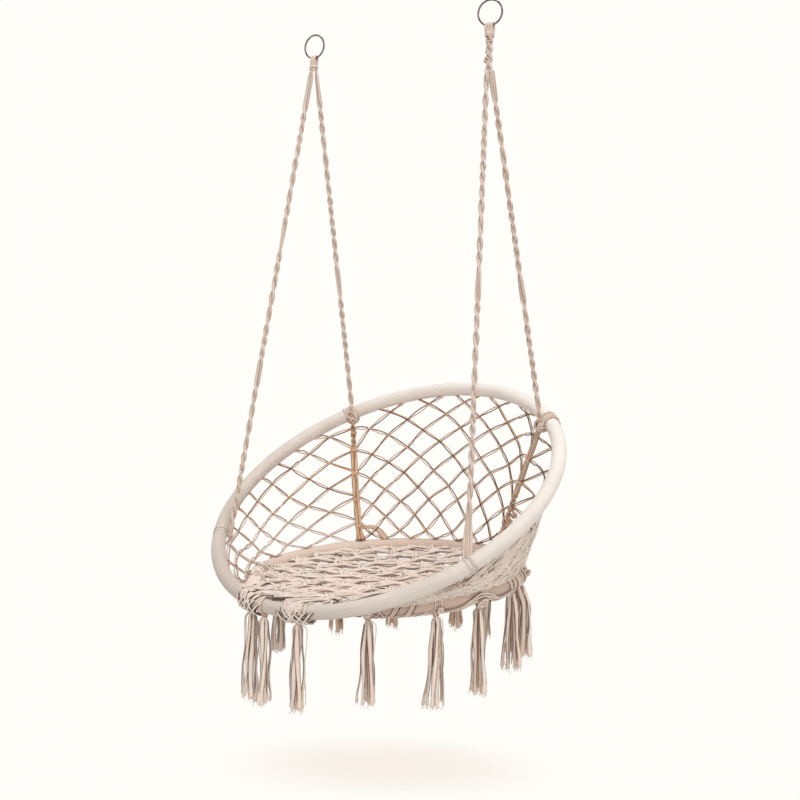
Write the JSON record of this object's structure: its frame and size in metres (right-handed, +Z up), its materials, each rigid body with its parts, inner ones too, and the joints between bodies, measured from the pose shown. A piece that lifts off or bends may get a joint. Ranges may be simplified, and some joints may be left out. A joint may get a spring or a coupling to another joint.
{
  "type": "hanging hammock chair",
  "caption": "Round macrame hanging chair: a cord seat ring and a larger tilted back ring joined by net, hung by ropes from steel rings, with tassels below.",
  "frame": {"origin": "halfway between the two places where the hanging rings rest on their hooks", "axes": "+Z up, the sitter faces -Y, +X to the left hand of the sitter"},
  "size_m": [0.8, 0.6661, 1.4272],
  "materials": {
    "ring_steel": "polished",
    "tube_steel": "satin",
    "sleeve_fabric": "matte",
    "cord": "matte"
  },
  "bodies": {
    "hangers": {"left_hanging_ring": "ring_steel", "right_hanging_ring": "ring_steel"},
    "chair": {"seat_ring_tube": "tube_steel", "back_ring_tube": "tube_steel", "seat_ring_sleeve": "sleeve_fabric", "back_ring_sleeve": "sleeve_fabric", "left_hanging_loop": "cord", "left_front_rope": "cord", "left_back_rope": "cord", "left_front_hitch": "cord", "left_back_knot": "cord", "left_back_stay": "cord", "left_stay_hitch": "cord", "left_side_net_rear": "cord", "left_side_net_front": "cord", "right_hanging_loop": "cord", "right_front_rope": "cord", "right_back_rope": "cord", "right_front_hitch": "cord", "right_back_knot": "cord", "right_back_stay": "cord", "right_stay_hitch": "cord", "right_side_net_rear": "cord", "right_side_net_front": "cord", "front_net_left": "cord", "front_net_right": "cord", "front_net_middle": "cord", "back_net_left": "cord", "back_net_middle": "cord", "back_net_right": "cord", "seat_net": "cord"},
    "tassel_1_body": {"tassel_1": "cord"},
    "tassel_2_body": {"tassel_2": "cord"},
    "tassel_3_body": {"tassel_3": "cord"},
    "tassel_4_body": {"tassel_4": "cord"},
    "tassel_5_body": {"tassel_5": "cord"},
    "tassel_6_body": {"tassel_6": "cord"},
    "tassel_7_body": {"tassel_7": "cord"},
    "tassel_8_body": {"tassel_8": "cord"},
    "tassel_9_body": {"tassel_9": "cord"},
    "tassel_10_body": {"tassel_10": "cord"},
    "tassel_11_body": {"tassel_11": "cord"},
    "tassel_12_body": {"tassel_12": "cord"},
    "tassel_13_body": {"tassel_13": "cord"},
    "tassel_14_body": {"tassel_14": "cord"}
  },
  "joints": [
    {"name": "chair_swing", "type": "hinge", "parent": "hangers", "child": "chair", "pos_m": [0, 0, -0.04975], "axis": [1, 0, 0], "range_deg": [-30, 30]},
    {"name": "tassel_1_swing", "type": "hinge", "parent": "chair", "child": "tassel_1_body", "pos_m": [-0.0959, -0.31742, -1.23778], "axis": [0.9681, -0.2504, 0], "range_deg": [-20, 20]},
    {"name": "tassel_2_swing", "type": "hinge", "parent": "chair", "child": "tassel_2_body", "pos_m": [-0.05341, -0.32483, -1.24283], "axis": [0.9903, -0.1392, 0], "range_deg": [-20, 20]},
    {"name": "tassel_3_swing", "type": "hinge", "parent": "chair", "child": "tassel_3_body", "pos_m": [0.03672, -0.32604, -1.24366], "axis": [0.9954, 0.0958, 0], "range_deg": [-20, 20]},
    {"name": "tassel_4_swing", "type": "hinge", "parent": "chair", "child": "tassel_4_body", "pos_m": [0.14225, -0.24325, -1.23541], "axis": [0.866, 0.5, 0], "range_deg": [-20, 20]},
    {"name": "tassel_5_swing", "type": "hinge", "parent": "chair", "child": "tassel_5_body", "pos_m": [0.23785, -0.15173, -1.2266], "axis": [0.5446, 0.8387, 0], "range_deg": [-20, 20]},
    {"name": "tassel_6_swing", "type": "hinge", "parent": "chair", "child": "tassel_6_body", "pos_m": [0.27761, -0.05671, -1.21745], "axis": [0.2079, 0.9781, 0], "range_deg": [-20, 20]},
    {"name": "tassel_7_swing", "type": "hinge", "parent": "chair", "child": "tassel_7_body", "pos_m": [0.27504, 0.07025, -1.20523], "axis": [-0.2419, 0.9703, 0], "range_deg": [-20, 20]},
    {"name": "tassel_8_swing", "type": "hinge", "parent": "chair", "child": "tassel_8_body", "pos_m": [0.24354, 0.14764, -1.19778], "axis": [-0.515, 0.8572, 0], "range_deg": [-20, 20]},
    {"name": "tassel_9_swing", "type": "hinge", "parent": "chair", "child": "tassel_9_body", "pos_m": [0.1969, 0.20497, -1.19226], "axis": [-0.7193, 0.6947, 0], "range_deg": [-20, 20]},
    {"name": "tassel_10_swing", "type": "hinge", "parent": "chair", "child": "tassel_10_body", "pos_m": [0.07814, 0.27322, -1.18568], "axis": [-0.9613, 0.2756, 0], "range_deg": [-20, 20]},
    {"name": "tassel_11_swing", "type": "hinge", "parent": "chair", "child": "tassel_11_body", "pos_m": [-0.00988, 0.28433, -1.18461], "axis": [-0.9994, -0.0349, 0], "range_deg": [-20, 20]},
    {"name": "tassel_12_swing", "type": "hinge", "parent": "chair", "child": "tassel_12_body", "pos_m": [-0.1585, 0.23592, -1.18928], "axis": [-0.829, -0.5592, 0], "range_deg": [-20, 20]},
    {"name": "tassel_13_swing", "type": "hinge", "parent": "chair", "child": "tassel_13_body", "pos_m": [-0.24953, 0.13688, -1.19881], "axis": [-0.4772, -0.8788, 0], "range_deg": [-20, 20]},
    {"name": "tassel_14_swing", "type": "hinge", "parent": "chair", "child": "tassel_14_body", "pos_m": [-0.28169, -0.02996, -1.21488], "axis": [0.1132, -0.9936, 0], "range_deg": [-20, 20]}
  ]
}
